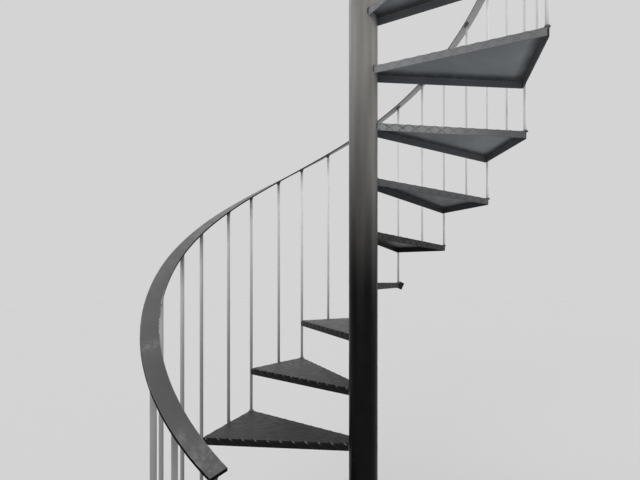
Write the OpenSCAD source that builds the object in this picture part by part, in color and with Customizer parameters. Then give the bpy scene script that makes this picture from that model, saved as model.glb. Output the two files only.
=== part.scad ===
// A steel spiral staircase: a round column, folded chequer plate treads welded to it,
// round bar balusters and a flat bar handrail. It climbs clockwise, seen from above.
// The origin is on the column's axis, at the underside of the base plate. +Z is up.

/* [Stair] */
// Number of treads below the landing
tread_count = 13; // [8:1:13]
// Height from one tread to the next
rise = 200; // [180:5:220]
// Turn from one tread to the next, in degrees
step_angle = 24.5; // [20:0.5:26]
// Direction of the first tread's front edge, in degrees
first_angle = 212; // [0:1:359]

/* [Column] */
// Outer diameter of the column
column_d = 108; // [90:2:140]
// Wall of the column tube
column_wall = 5; // [3:0.5:8]
// Diameter of the base plate
base_d = 260; // [240:10:320]
// Thickness of the base plate
base_t = 12; // [8:1:20]
// Spacing of the base plate's four anchor holes, along X and along Y
anchor_spacing = 140; // [130:5:150]
// Diameter of an anchor hole
anchor_hole_d = 14; // [10:1:16]

/* [Treads] */
// Distance from the axis to a tread's front outer corner
front_corner_r = 630; // [560:2:700]
// Distance from the axis to a tread's back outer corner
back_corner_r = 646; // [590:2:740]
// How far a tread's two edges lie beside the radial lines, at the column's axis
root_lap = 20; // [8:1:30]
// Thickness of the folded plate
plate_t = 4; // [3:0.5:5]
// Height of a tread's folded flanges, from the top of the plate
flange_h = 28; // [26:1:40]
// Length of the notch in the flanges at a tread's back outer corner
corner_notch = 10; // [6:1:14]

/* [Railing] */
// Diameter of a baluster
bar_d = 12; // [10:1:14]
// Width of the handrail's flat bar
rail_w = 40; // [36:2:60]
// Thickness of the handrail's flat bar
rail_t = 6; // [5:1:12]
// Height of the handrail's underside over a tread's top, at its front corner
rail_h = 802; // [700:2:900]
// How far the handrail runs on past its first and its last baluster
rail_lead = 12; // [8:1:40]
// How far the handrail's lower end is eased up above its even climb
rail_ease = 35; // [0:5:60]

/* [Landing] */
// Turn of the landing, in steps
landing_steps = 3; // [2:1:3]
// Height of the landing's folded flanges
landing_flange_h = 50; // [40:5:80]
// Leg of the steel angle that seats the landing on the upper floor
angle_leg = 60; // [50:5:80]
// Thickness of the steel angle
angle_t = 6; // [4:1:8]
// Spacing of the steel angle's two bolt holes
angle_hole_spacing = 360; // [300:10:400]

/* [Hidden] */
$fn = 48;
// The handrail is made in lengths of this many steps
rail_piece_steps = 2;
rail_piece_count = ceil((tread_count + 1) / rail_piece_steps);

// A little more than nothing, so that a cut passes right through
through = 1;
// Steps that differ by less than this count as the same
same_step = 0.01;

// At their outer ends the plates reach this far past the radial lines, so that they lap
edge_lap = bar_d / 2;
// Balusters at the corners touch the front corner of the tread above
bar_r = front_corner_r + bar_d / 2;
// The lower end of the bars that are welded to the outer flange's upper edge
bar_foot_drop = 6;
// The welds that join a bar to a flange, and the one where a corner bar passes a front corner
weld_w = 8;
weld_h = 12;
weld_drop = 4;

// The handrail keeps climbing for one step over the landing, then runs level
landing_z = rise * (tread_count + 1);
rail_level_step = tread_count + 1;
last_step = tread_count + landing_steps;
rail_lead_steps = rail_lead * 180 / (PI * step_angle * bar_r);
// The handrail's lower end is eased over this many steps
rail_ease_steps = 2;
// Stations of the handrail in each step: one at each baluster and three between
rail_stations = 8;

column_top_z = landing_z + rise + rail_h + rail_t;
cap_edge_h = 4;
cap_dome_h = 10;

cleat_side = 40;
cleat_t = 6;
cleat_tilt = 24;
cleat_tread = 7;
foot_side = 70;
foot_t = 8;
foot_hole_d = 9;
foot_hole_inset = 12;
angle_length = 520;
angle_start_r = 70;
angle_hole_d = 14;

steel_dark = "#46474a";
steel_tread = "#55575a";
steel_bar = "#7d7e7e";
steel_rail = "#5c5e60";

// Direction of the radial line between treads s and s + 1, where line 0 is the first nosing
function line_angle(s) = first_angle - s * step_angle;
function turned(p, a) = [p[0] * cos(a) - p[1] * sin(a), p[0] * sin(a) + p[1] * cos(a)];
function unit(v) = v / norm(v);
function left_of(v) = [-v[1], v[0]];

// Height of the handrail's underside at step s, its slope below the landing and its plumb thickness
function ease_part(s) = max(0, 1 - s / rail_ease_steps);
function rail_under(s) = rise * (min(s, rail_level_step) + 1) + rail_h + rail_ease * pow(ease_part(s), 2);
function rail_slope(s) =
    atan((rise - 2 * rail_ease * ease_part(s) / rail_ease_steps) * 180 / (PI * step_angle * bar_r));
function rail_plumb(s) = s < rail_level_step ? rail_t / cos(rail_slope(s)) : rail_t;

// Outline of a folded plate over some steps, anticlockwise, from its back root round to its
// front root. The front edge lies near +X, and the roots are inside the column.
function tray_outline(steps, back_lap) = concat(
    [turned([0, -back_lap], -steps * step_angle)],
    [turned([back_corner_r, -edge_lap], -steps * step_angle)],
    [for (i = [steps - 1 : -1 : 1]) turned([back_corner_r, 0], -i * step_angle)],
    [[front_corner_r, -edge_lap], [front_corner_r, edge_lap], [0, root_lap]]
);

// The corner at b, between a and c, moved inwards by d
function inset_corner(a, b, c, d) =
    let (u = unit(b - a), v = unit(c - b))
    let (p = b + left_of(u) * d, q = b + left_of(v) * d)
    p + u * cross(q - p, v) / cross(u, v);

// An outline moved inwards by d along its sides, with its two ends left open
function inset(points, d) =
    let (last = len(points) - 1)
    [for (i = [0 : last])
        i == 0 ? points[0] + left_of(unit(points[1] - points[0])) * d
        : i == last ? points[last] + left_of(unit(points[last] - points[last - 1])) * d
        : inset_corner(points[i - 1], points[i], points[i + 1], d)];

// The space under a plate, inside its folds, which also opens at its back outer corner
module tray_space(outline, steps) {
    polygon(inset(outline, plate_t));
    rotate(-steps * step_angle) translate([back_corner_r - corner_notch, -edge_lap - corner_notch])
        square(2 * corner_notch);
}

// A plate folded down along its front, outer and back edges, with its top at z = 0.
// Its root is cut to the column, and the folds stop short of the back outer corner.
module tray(steps, depth, back_lap) {
    outline = tray_outline(steps, back_lap);
    difference() {
        translate([0, 0, -depth]) linear_extrude(depth) polygon(outline);
        translate([0, 0, -depth - through]) linear_extrude(depth + through - plate_t)
            tray_space(outline, steps);
        translate([0, 0, -depth - through]) cylinder(d = column_d, h = depth + 2 * through);
    }
}

// Middle of the outer edge of a plate's step i, counted from its front, and its direction
function edge_start(i) = i == 0 ? [front_corner_r, -edge_lap] : turned([back_corner_r, 0], -i * step_angle);
function edge_end(i, steps) = turned([back_corner_r, i == steps - 1 ? -edge_lap : 0], -(i + 1) * step_angle);
function edge_middle(i, steps) = (edge_start(i) + edge_end(i, steps)) / 2;
function edge_outward(i, steps) = unit(left_of(edge_end(i, steps) - edge_start(i)));

// A round bar at p from z_foot up to the handrail, with its top cut to the rail's underside.
// The plate's first line is line s_front.
module bar(p, s_front, z_foot) {
    a = atan2(p[1], p[0]);
    s = s_front - a / step_angle;
    top = rail_under(s);
    difference() {
        translate([p[0], p[1], z_foot]) cylinder(d = bar_d, h = top + bar_d - z_foot);
        translate([p[0], p[1], top]) rotate([0, 0, a]) {
            if (s < rail_level_step + same_step)
                rotate([-rail_slope(s), 0, 0]) translate([-bar_d, -2 * bar_d, 0]) cube(4 * bar_d);
            if (s > rail_level_step - same_step)
                translate([-bar_d, -2 * bar_d, 0]) cube(4 * bar_d);
        }
    }
}

// The bar at the middle of a plate's outer edge, welded to the outside of the flange
module edge_bar(i, steps, s_front, z_top) {
    middle = edge_middle(i, steps);
    outward = edge_outward(i, steps);
    bar(middle + outward * bar_d / 2, s_front, z_top - bar_foot_drop);
    translate([middle[0], middle[1], z_top - bar_foot_drop])
        rotate([0, 0, atan2(outward[1], outward[0])])
            translate([0, -weld_w / 2, 0]) cube([bar_d / 2, weld_w, bar_foot_drop]);
}

// The weld between a corner bar and the front corner of the plate whose top is at z_top
module corner_weld(z_top) {
    translate([front_corner_r, -weld_w / 2, z_top - weld_drop - weld_h]) cube([bar_d / 2, weld_w, weld_h]);
}

module base_plate() {
    color(steel_dark) difference() {
        cylinder(d = base_d, h = base_t, $fn = 96);
        for (x = [-1, 1], y = [-1, 1])
            translate([x * anchor_spacing / 2, y * anchor_spacing / 2, -through])
                cylinder(d = anchor_hole_d, h = base_t + 2 * through);
    }
}

module column() {
    color(steel_dark) translate([0, 0, base_t]) difference() {
        cylinder(d = column_d, h = column_top_z - base_t, $fn = 96);
        translate([0, 0, -through])
            cylinder(d = column_d - 2 * column_wall, h = column_top_z - base_t + 2 * through, $fn = 96);
    }
}

// A disc with a low dome
module column_cap() {
    dome_r = (pow(column_d / 2, 2) + pow(cap_dome_h, 2)) / (2 * cap_dome_h);
    color(steel_dark) translate([0, 0, column_top_z]) {
        cylinder(d = column_d, h = cap_edge_h, $fn = 96);
        translate([0, 0, cap_edge_h]) intersection() {
            translate([0, 0, cap_dome_h - dome_r]) sphere(r = dome_r, $fn = 96);
            cylinder(d = column_d, h = 2 * cap_dome_h, $fn = 96);
        }
    }
}

module tread(i) {
    color(steel_tread) translate([0, 0, rise * i])
        rotate([0, 0, line_angle(i - 1)]) tray(1, flange_h, root_lap);
}

module landing() {
    color(steel_tread) translate([0, 0, landing_z])
        rotate([0, 0, line_angle(tread_count)]) tray(landing_steps, landing_flange_h, edge_lap);
}

// A steel angle on the landing's last edge: one leg on the flange, one on the upper floor
module landing_angle() {
    hollow = angle_leg - angle_t + through;
    hole_y = -(angle_leg + angle_t) / 2;
    color(steel_dark) translate([0, 0, landing_z]) rotate([0, 0, line_angle(last_step)])
        translate([angle_start_r, -edge_lap, 0]) difference() {
            translate([0, -angle_leg, -angle_leg]) cube([angle_length, angle_leg, angle_leg]);
            translate([-through, -angle_leg - through, -angle_leg - through])
                cube([angle_length + 2 * through, hollow, hollow]);
            for (side = [-1, 1])
                translate([(angle_length + side * angle_hole_spacing) / 2, hole_y, -angle_t - through])
                    cylinder(d = angle_hole_d, h = angle_t + 2 * through);
        }
}

// A small square plate, welded askew to the outside of a tread's outer flange, at its back corner
module wall_cleat() {
    corner = edge_end(0, 1);
    outward = edge_outward(0, 1);
    color(steel_dark) translate([0, 0, rise * cleat_tread - flange_h / 2])
        rotate([0, 0, line_angle(cleat_tread - 1)]) translate([corner[0], corner[1], 0])
            rotate([0, 0, atan2(outward[1], outward[0])]) rotate([cleat_tilt, 0, 0])
                translate([0, -cleat_side / 2, -cleat_side / 2]) cube([cleat_t, cleat_side, cleat_side]);
}

// The lowest bar stands on the floor, on a foot with two screw holes
module starting_baluster() {
    color(steel_bar) rotate([0, 0, line_angle(0)]) {
        bar([bar_r, 0], 0, foot_t);
        corner_weld(rise);
        translate([bar_r, 0, 0]) difference() {
            translate([-foot_side / 2, -foot_side / 2, 0]) cube([foot_side, foot_side, foot_t]);
            for (side = [-1, 1])
                translate([0, side * (foot_side / 2 - foot_hole_inset), -through])
                    cylinder(d = foot_hole_d, h = foot_t + 2 * through);
        }
    }
}

// A tread's two bars: one at the middle of its edge and one on its back corner
module balusters(i) {
    color(steel_bar) {
        rotate([0, 0, line_angle(i - 1)]) edge_bar(0, 1, i - 1, rise * i);
        rotate([0, 0, line_angle(i)]) {
            bar([bar_r, 0], i, rise * i);
            corner_weld(rise * (i + 1));
        }
    }
}

module landing_balusters() {
    color(steel_bar) {
        rotate([0, 0, line_angle(tread_count)]) for (i = [0 : landing_steps - 1])
            edge_bar(i, landing_steps, tread_count, landing_z);
        for (i = [1 : landing_steps])
            rotate([0, 0, line_angle(tread_count + i)]) bar([bar_r, 0], tread_count + i, landing_z);
    }
}

// The flat bar from step s_from to step s_to, as a ring of four points at each station
module rail_piece(s_from, s_to) {
    count = ceil((s_to - s_from) * rail_stations - same_step);
    stations = [for (j = [0 : count]) j == 0 ? s_from : s_to - (count - j) / rail_stations];
    points = [for (s = stations)
        for (corner = [[-1, 0], [1, 0], [1, 1], [-1, 1]])
            let (r = bar_r + corner[0] * rail_w / 2, a = line_angle(s))
            [r * cos(a), r * sin(a), rail_under(s) + corner[1] * rail_plumb(s)]];
    sides = [for (j = [0 : count - 1]) for (k = [0 : 3])
        let (here = 4 * j + k, next = 4 * j + (k + 1) % 4)
        each [[here, next, next + 4], [here, next + 4, here + 4]]];
    polyhedron(points, concat([[3, 2, 1, 0]], sides, [[for (k = [0 : 3]) 4 * count + k]]), convexity = 4);
}

module handrail(i) {
    s_from = i == 1 ? -rail_lead_steps : (i - 1) * rail_piece_steps;
    color(steel_rail) rail_piece(s_from, min(i * rail_piece_steps, rail_level_step));
}

module handrail_landing() {
    turn = (last_step + rail_lead_steps - rail_level_step) * step_angle;
    color(steel_rail) translate([0, 0, rail_under(rail_level_step)])
        rotate([0, 0, line_angle(rail_level_step) - turn])
            rotate_extrude(angle = turn, $fn = 240)
                translate([bar_r - rail_w / 2, 0]) square([rail_w, rail_t]);
}

base_plate();
column();
column_cap();
for (i = [1 : tread_count])
    tread(i);
landing();
landing_angle();
wall_cleat();
starting_baluster();
for (i = [1 : tread_count])
    balusters(i);
landing_balusters();
for (i = [1 : rail_piece_count])
    handrail(i);
handrail_landing();
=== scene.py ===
import math
import random
from collections import namedtuple

import bmesh
import bpy
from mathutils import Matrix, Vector, noise

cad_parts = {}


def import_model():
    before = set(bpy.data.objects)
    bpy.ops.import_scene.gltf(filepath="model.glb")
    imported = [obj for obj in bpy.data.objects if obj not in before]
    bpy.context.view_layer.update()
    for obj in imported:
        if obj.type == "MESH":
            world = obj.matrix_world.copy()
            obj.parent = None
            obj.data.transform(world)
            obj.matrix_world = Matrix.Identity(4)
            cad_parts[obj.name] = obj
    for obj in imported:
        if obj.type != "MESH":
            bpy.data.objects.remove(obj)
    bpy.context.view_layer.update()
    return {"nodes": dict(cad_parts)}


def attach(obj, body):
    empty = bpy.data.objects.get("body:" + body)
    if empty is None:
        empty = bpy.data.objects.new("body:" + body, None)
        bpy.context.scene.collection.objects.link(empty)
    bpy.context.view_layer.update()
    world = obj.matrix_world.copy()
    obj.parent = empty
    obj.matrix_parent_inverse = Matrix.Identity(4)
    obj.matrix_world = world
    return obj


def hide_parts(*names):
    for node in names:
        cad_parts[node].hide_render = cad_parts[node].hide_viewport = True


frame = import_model()
nodes = frame["nodes"]

# Sizes of the stair in metres and degrees, as in part.scad
TREADS = 13
RISE = 0.200
STEP = 24.5
FIRST = 212.0
COLUMN_R = 0.054
COLUMN_WALL = 0.005
BASE_T = 0.012
FRONT_R = 0.630
BACK_R = 0.646
ROOT_LAP = 0.020
EDGE_LAP = 0.006
PLATE_T = 0.004
FLANGE_H = 0.028
NOTCH = 0.010
LANDING_STEPS = 3
LANDING_FLANGE_H = 0.050
BAR_D = 0.012
BAR_CIRCLE = 0.636
BAR_FOOT_DROP = 0.006
FOOT_T = 0.008
FOOT_SIDE = 0.070
FOOT_HOLE_D = 0.009
FOOT_HOLE_INSET = 0.012
RAIL_W = 0.040
RAIL_T = 0.006
RAIL_H = 0.802
RAIL_LEAD = 0.012
RAIL_EASE = 0.035
RAIL_EASE_STEPS = 2
RAIL_LENGTHS = 7
CLEAT_TREAD = 7
CLEAT_SIDE = 0.040
CLEAT_T = 0.006
CLEAT_TILT = 24.0

LANDING_Z = RISE * (TREADS + 1)
LEVEL_STEP = TREADS + 1
LAST_STEP = TREADS + LANDING_STEPS
COLUMN_TOP = LANDING_Z + RISE + RAIL_H + RAIL_T
STEP_ARC = math.radians(STEP) * BAR_CIRCLE
LEAD_STEPS = RAIL_LEAD / STEP_ARC

# The folds of the plates. Below the bend three rows of faces are outside: flat, chamfer and lower edge
BEND_R = 0.006
BEND_PARTS = 5
OUTSIDE_ROWS = 3
RIM = 0.0006
ROOT_R = COLUMN_R - 0.0001

# Painted shade along the folds of the underside, darkening it where shade falls beside them: distances
# from the fold, with how strong the painted shade is there
UNDER_FOLD_SHADE = [(0.0, 0.9), (0.016, 0.8), (0.042, 0.0)]

# The lozenge ribs of the chequer plate. One family lies a hair higher, so that crossings don't flicker,
# and stretches of a rib that nearly meet are joined
RIB_PITCH = 0.050
RIB_DEPTH = 0.034
RIB_BASE = 0.0060
RIB_TOP = 0.0032
RIB_H = 0.0009
TOP_RIB_H = 0.0006
RIB_SINK = 0.0003
RIB_END = 0.003
RIB_CROSS_LIFT = 0.00005
RIB_JOIN = 0.0001

# How far the ribs stay off a fold's ends, an outer side's corners, the column, the bend line and the
# lower edge
RIB_OFF_END = 0.003
RIB_OFF_CORNER = 0.001
RIB_OFF_ROOT = 0.004
RIB_OFF_BEND = 0.0004
RIB_OFF_EDGE = 0.0015

# Where the lattice starts along the outer and the back folds, and where the back one's ribs cross
SIDE_RIB_PHASE = 0.012
BACK_RIB_PHASE = 0.020
BACK_RIB_ROW = 0.0025

# The tread whose back fold is painted with shadows along its ribs and painted darker towards its outer end,
# as shade
SHADED_RIB_TREAD = 10

# The material slots of a folded plate and of a bar
TOP, TOP_RIB, NOSE, NOSE_RIB, WORN_LIT_RIB, SIDE, SIDE_RIB, BACK, BACK_RIB, UNDER, INSIDE = range(11)
BAR, RAIL_WELD, FOOT_WELD = range(3)

# The bars: rises above the foot and drops below the handrail, with how sooty the bar is there
BAR_SIDES = 20
BAR_FOOT_SOOT = [(0.0, 0.5), (0.03, 0.2), (0.10, 0.0)]
BAR_TOP_SOOT = [(0.13, 0.0), (0.06, 0.35), (0.02, 0.8), (0.0, 1.0)]

# The collar of weld under the handrail: drops, with how far it stands out from the bar
BAR_COLLAR = [(0.013, 0.0001), (0.008, 0.0011), (0.004, 0.0026), (0.0, 0.0045)]

# The beads that hold a bar on a plate's edge: drops below the plate's top, with their radii, and how
# far they run round the bar
EDGE_BEADS = [(0.0016, 0.0034), (BAR_FOOT_DROP, 0.0022)]
EDGE_BEAD_TURN = 2.6

# The beads where a bar passes the next plate's corner
SIDE_WELD_DROP = 0.004
SIDE_WELD_L = 0.019

# The beads at a plate's root: how far they stand out of the column, their radii, how far the ones
# above and below run past the plate, and how far the upright ones stand in from its ends
ROOT_WELD_OUT = 0.0006
ROOT_WELD_R = 0.0030
ROOT_WELD_SIDE_R = 0.0028
ROOT_WELD_PAST = (0.02, 0.14)
ROOT_WELD_IN = 0.02

# The handrail's rounded edges, the strip of wear beside one of them, which near step 1.5 also carries a
# painted highlight, and its cross sections a step
RAIL_EDGE_R = 0.0012
RAIL_WORN_LIT_W = 0.0006
RAIL_PARTS = 16

# Tints of the greys. COOL and BLUISH are painted tints of the light on the back folds and undersides;
# WARM is the dust's own tint, and in the column's height shade a painted tint of its reflection
PLAIN = (1.0, 1.0, 1.0)
COOL = (0.97, 1.0, 1.03)
WARM = (1.04, 1.0, 0.95)
BLUISH = (0.92, 1.0, 1.08)

# What streaks multiply a paint by, paint runs and on the column painted reflection bands, and where an
# outer tone starts and is full, from the column's axis
STREAK = (0.25, 0.25, 0.25, 1.0)
OUTER_REACH = (0.22, 0.62)

# Light and stage
WORLD_LIGHT = 0.42
BACKDROP = 212
FLOOR = 230
FLOOR_HALF = 30.0

# Soft lamps: where their light comes from, its strength and its spread
LAMPS = {
    "side_light": ((0.80, -0.55, 0.24), 1.1, 40),
    "top_light": ((-0.25, 0.35, 0.90), 0.8, 60),
    "fill_light": ((-0.80, -0.55, 0.12), 1.6, 60),
}

# The photograph's camera: its place, its heading from +X, its focal length and the point
# where its level axis meets the picture, in pixels
CAMERA_AT = (-0.6390, -1.0500, 1.4019)
CAMERA_HEADING = 51.81
FOCAL_PX = 322.7
AXIS_PX = (402.2, 282.4)
IMAGE_W, IMAGE_H = 640, 480
SENSOR = 36.0

# A tread or the landing: how many steps it covers, the depth of its folds, how far its root laps over
# its back line, its angle and its height
Plate = namedtuple("Plate", "steps depth back_lap angle z")


def line_angle(s):
    return math.radians(FIRST - s * STEP)


def place(xy, angle, z):
    """A point given in a tread's own frame, put where the tread is."""
    c, s = math.cos(angle), math.sin(angle)
    return Vector((xy[0] * c - xy[1] * s, xy[0] * s + xy[1] * c, z))


def turned(xy, degrees):
    return place(xy, math.radians(degrees), 0).xy


def polar(r, a, *z):
    return Vector((r * math.cos(a), r * math.sin(a), *z))


def rail_under(s):
    """Height of the handrail's underside at step s, with a short bend where it turns level."""
    bend = 0.08
    over = s - LEVEL_STEP
    if over <= -bend:
        rest = s
    elif over >= bend:
        rest = LEVEL_STEP
    else:
        rest = LEVEL_STEP - (bend - over) ** 2 / (4 * bend)
    return RISE * (rest + 1) + RAIL_H + RAIL_EASE * ease_part(s) ** 2


def ease_part(s):
    return max(0.0, 1 - s / RAIL_EASE_STEPS)


def rail_plumb(s):
    """How much taller than its thickness the handrail is, measured plumb."""
    if s >= LEVEL_STEP:
        return 1.0
    return math.hypot(1.0, (RISE - 2 * RAIL_EASE * ease_part(s) / RAIL_EASE_STEPS) / STEP_ARC)


def rail_point(s, offset=0.0):
    """A point on top of the handrail, off its middle line by the offset."""
    return polar(BAR_CIRCLE + offset, line_angle(s), rail_under(s) + RAIL_T)


def put(name, data):
    """A new object in the scene."""
    thing = bpy.data.objects.new(name, data)
    bpy.context.scene.collection.objects.link(thing)
    return thing


# Materials

def node_tree(name):
    material = bpy.data.materials.new(name)
    material.use_nodes = True
    tree = material.node_tree
    tree.nodes.clear()
    output = tree.nodes.new("ShaderNodeOutputMaterial")
    shader = tree.nodes.new("ShaderNodeBsdfPrincipled")
    tree.links.new(shader.outputs["BSDF"], output.inputs["Surface"])
    return material, tree, shader


def grey(level, tint=PLAIN):
    """A grey as seen on screen, from 0 to 255, as linear light."""
    value = level / 255
    linear = value / 12.92 if value <= 0.04045 else ((value + 0.055) / 1.055) ** 2.4
    return (linear * tint[0], linear * tint[1], linear * tint[2], 1.0)


class Paint:
    """Builds one painted steel from layers of noise."""

    def __init__(self, name):
        self.material, self.tree, self.shader = node_tree(name)
        self.coords = self.tree.nodes.new("ShaderNodeTexCoord").outputs["Object"]

    def new(self, kind, inputs=None, **values):
        node = self.tree.nodes.new(kind)
        for key, value in values.items():
            setattr(node, key, value)
        for key, value in (inputs or {}).items():
            node.inputs[key].default_value = value
        return node

    def link(self, source, target):
        self.tree.links.new(source, target)

    def noise(self, scale, detail=3.0, roughness=0.55, stretch=(1, 1, 1), offset=(0, 0, 0)):
        mapping = self.new("ShaderNodeMapping", {"Scale": stretch, "Location": offset})
        self.link(self.coords, mapping.inputs["Vector"])
        texture = self.new("ShaderNodeTexNoise", {"Scale": scale, "Detail": detail, "Roughness": roughness})
        self.link(mapping.outputs["Vector"], texture.inputs["Vector"])
        return texture.outputs["Fac"]

    def ramp(self, source, low, high, start=0.0, end=1.0):
        """Source from low to high, as a mask from start to end."""
        limits = {"From Min": low, "From Max": high, "To Min": start, "To Max": end}
        node = self.new("ShaderNodeMapRange", limits, interpolation_type="SMOOTHSTEP")
        self.link(source, node.inputs["Value"])
        return node.outputs["Result"]

    def math(self, operation, a, b):
        node = self.new("ShaderNodeMath", operation=operation)
        for socket, value in zip(node.inputs, (a, b)):
            if isinstance(value, (int, float)):
                socket.default_value = value
            else:
                self.link(value, socket)
        return node.outputs["Value"]

    def mix(self, mask, a, b, blend="MIX"):
        node = self.new("ShaderNodeMix", data_type="RGBA", blend_type=blend)
        self.link(mask, node.inputs["Factor"])
        for socket, value in ((node.inputs[6], a), (node.inputs[7], b)):
            if isinstance(value, tuple):
                socket.default_value = value
            else:
                self.link(value, socket)
        return node.outputs[2]

    def height(self, vector):
        split = self.new("ShaderNodeSeparateXYZ")
        self.link(vector, split.inputs["Vector"])
        return split.outputs["Z"]

    def up(self):
        """A mask of the faces that look up."""
        return self.ramp(self.height(self.new("ShaderNodeNewGeometry").outputs["Normal"]), 0.6, 0.95)

    def near(self, point, radius):
        """A mask of what lies within a radius of a point, fading from near its middle."""
        distance = self.new("ShaderNodeVectorMath", {1: point}, operation="DISTANCE")
        self.link(self.coords, distance.inputs[0])
        return self.ramp(distance.outputs["Value"], radius * 0.2, radius, 1.0, 0.0)

    def outward(self, none, full):
        """A mask that grows with the distance from the column's axis."""
        level = self.new("ShaderNodeVectorMath", {1: (1, 1, 0)}, operation="MULTIPLY")
        self.link(self.coords, level.inputs[0])
        length = self.new("ShaderNodeVectorMath", operation="LENGTH")
        self.link(level.outputs["Vector"], length.inputs[0])
        return self.ramp(length.outputs["Value"], none, full)

    def bump(self, height, distance, strength, normal=None):
        node = self.new("ShaderNodeBump", {"Distance": distance, "Strength": strength})
        self.link(height, node.inputs["Height"])
        if normal is not None:
            self.link(normal, node.inputs["Normal"])
        return node.outputs["Normal"]

    def finish(self, colour, roughness, normal, specular=0.5):
        for source, socket in ((colour, "Base Color"), (roughness, "Roughness"), (normal, "Normal")):
            self.link(source, self.shader.inputs[socket])
        self.shader.inputs["Specular IOR Level"].default_value = specular
        return self.material


def enamel(name, levels, rough, tint=PLAIN, dust=0.0, dust_level=0, streaks=0.0, speck=0.3,
           even=False, relief=1.0, gloss=0.5, scuffs_and_painted_light=(), painted_light_by_height=(), soot_and_fold_shade=None, outer=None):
    """Brushed enamel on steel: cloudy tone, brush lines, small dark specks, dust on top and spots of wear,
    which on tread 10's back ribs are painted rib shadows and on the handrail's inner edge near step 1.5
    also a painted highlight. Streaks are paint runs, and on the column painted reflection bands. The
    levels are the base, dark and pale grey. Each height shade is painted light, shade and reflection by
    height: a colour that takes over from one height to another. Soot lies where the mesh says, with
    painted shade along the folds of the treads' undersides. The outer level takes over from the column
    outwards."""
    p = Paint(name)
    base, dark, pale = (grey(level, tint) for level in levels)
    clouds = p.noise(7.0, 5.0, 0.6)
    colour = p.mix(p.ramp(clouds, 0.30, 0.72), dark, base)
    blotches = p.noise(34.0, 4.0, 0.65, offset=(3.1, 1.7, 0.4))
    colour = p.mix(p.ramp(blotches, 0.55, 0.80, 0.0, 0.15 if even else 0.40), colour, pale)
    fine = p.noise(420.0, 2.0, 0.6)
    colour = p.mix(p.ramp(fine, 0.66, 0.74, 0.0, speck), colour, dark)
    if dust:
        drifts = p.ramp(p.noise(16.0, 5.0, 0.7, offset=(0.3, 4.2, 1.9)), 0.36, 0.70, 0.25, 1.0)
        fallen = p.math("MULTIPLY", p.math("MULTIPLY", p.up(), drifts), dust)
        colour = p.mix(fallen, colour, grey(dust_level, WARM))
    scratches = p.noise(60.0, 3.0, 0.7, stretch=(1, 0.12, 1), offset=(5.0, 0.0, 2.0))
    rough_base = p.ramp(blotches, 0.30, 0.75, rough - 0.07, rough + 0.13)
    if outer:
        colour = p.mix(p.outward(*OUTER_REACH), colour, grey(outer, tint))
    # Painted light, shade and reflection by height
    for z_full, z_none, tone, strength in painted_light_by_height:
        colour = p.mix(p.ramp(p.height(p.coords), z_none, z_full, 0.0, strength), colour, tone)
    # Spots of wear toward the pale level; where the pale level is darker, on tread 10's back ribs, they are
    # painted rib shadows, and on the handrail's inner edge near step 1.5 they are also a painted highlight
    for point, radius, strength in scuffs_and_painted_light:
        wear_and_painted_light = p.math("MAXIMUM", p.ramp(scratches, 0.50, 0.64), p.ramp(blotches, 0.44, 0.70, 0.0, 0.55))
        wear_and_painted_light = p.math("MAXIMUM", wear_and_painted_light, p.ramp(p.noise(150.0, 3.0, 0.75), 0.56, 0.62))
        wear_and_painted_light = p.math("MULTIPLY", wear_and_painted_light, p.near(point, radius))
        colour = p.mix(p.math("MULTIPLY", wear_and_painted_light, strength), colour, pale)
    # Paint runs, and on the column painted reflection bands
    if streaks:
        runs_and_reflection_bands = p.noise(17.0, 2.0, 0.45, stretch=(1, 1, 0.06))
        colour = p.mix(p.ramp(runs_and_reflection_bands, 0.34, 0.70, 0.0, streaks), colour, STREAK, "MULTIPLY")
    # Weld soot on the bars, and painted shade along the folds of the treads' undersides, as the mesh gives it
    if soot_and_fold_shade:
        amount = p.new("ShaderNodeAttribute", attribute_name="soot_and_fold_shade").outputs["Fac"]
        ragged = p.math("MULTIPLY", amount, p.ramp(blotches, 0.20, 0.60, 0.7, 1.0))
        colour = p.mix(ragged, colour, (soot_and_fold_shade, soot_and_fold_shade, soot_and_fold_shade, 1.0), "MULTIPLY")
    brush = p.noise(210.0, 3.0, 0.55, stretch=(1, 1, 0.35))
    normal = p.bump(brush, 0.0006 * relief, 0.35)
    normal = p.bump(p.noise(38.0, 2.0, 0.5), 0.0012 * relief, 0.20, normal)
    return p.finish(colour, rough_base, normal, gloss)


def weld_metal(name, base, pale):
    """Weld beads under a thin coat, with sooty hollows."""
    p = Paint(name)
    tone = p.noise(160.0, 4.0, 0.7)
    colour = p.mix(p.ramp(tone, 0.35, 0.70), base, pale)
    rough = p.ramp(tone, 0.30, 0.70, 0.42, 0.68)
    return p.finish(colour, rough, p.bump(p.noise(600.0, 3.0, 0.6), 0.0005, 0.6))


# Painted light and shade by height, for each paint: where a colour is full, where it is gone, the colour and
# its strength. The back folds are painted dark low down as shade; the handrail is painted paler at its lowest
# end and higher up, as light.
BACK_PAINTED_SHADE = [(1.60, 2.04, grey(20), 0.98)]
RAIL_PAINTED_LIGHT = [(1.05, 1.17, grey(99), 0.8), (1.78, 1.50, grey(102), 0.9), (2.7, 1.85, grey(176), 0.85)]
# Where the painted rib shadows on that tread's back fold are strongest, near the column
rib_shadow_place = place(turned((0.14, 0), -STEP), line_angle(SHADED_RIB_TREAD - 1), RISE * SHADED_RIB_TREAD - FLANGE_H / 2)

# The column and its fittings are painted near black low down and pale grey higher up, a painted reflection
# and painted light; the column's strong streaks are painted reflection bands.
column_paint = enamel("column_enamel", (13, 9, 22), 0.30, streaks=0.65, speck=0.35, relief=0.25, gloss=0.08,
                      painted_light_by_height=[(2.3, 1.34, grey(153, WARM), 0.97)])
fitting_paint = enamel("fitting_enamel", (24, 16, 38), 0.42, dust=0.3, dust_level=70, speck=0.35, gloss=0.15,
                       painted_light_by_height=[(2.3, 1.34, grey(124, WARM), 0.9)])
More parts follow.
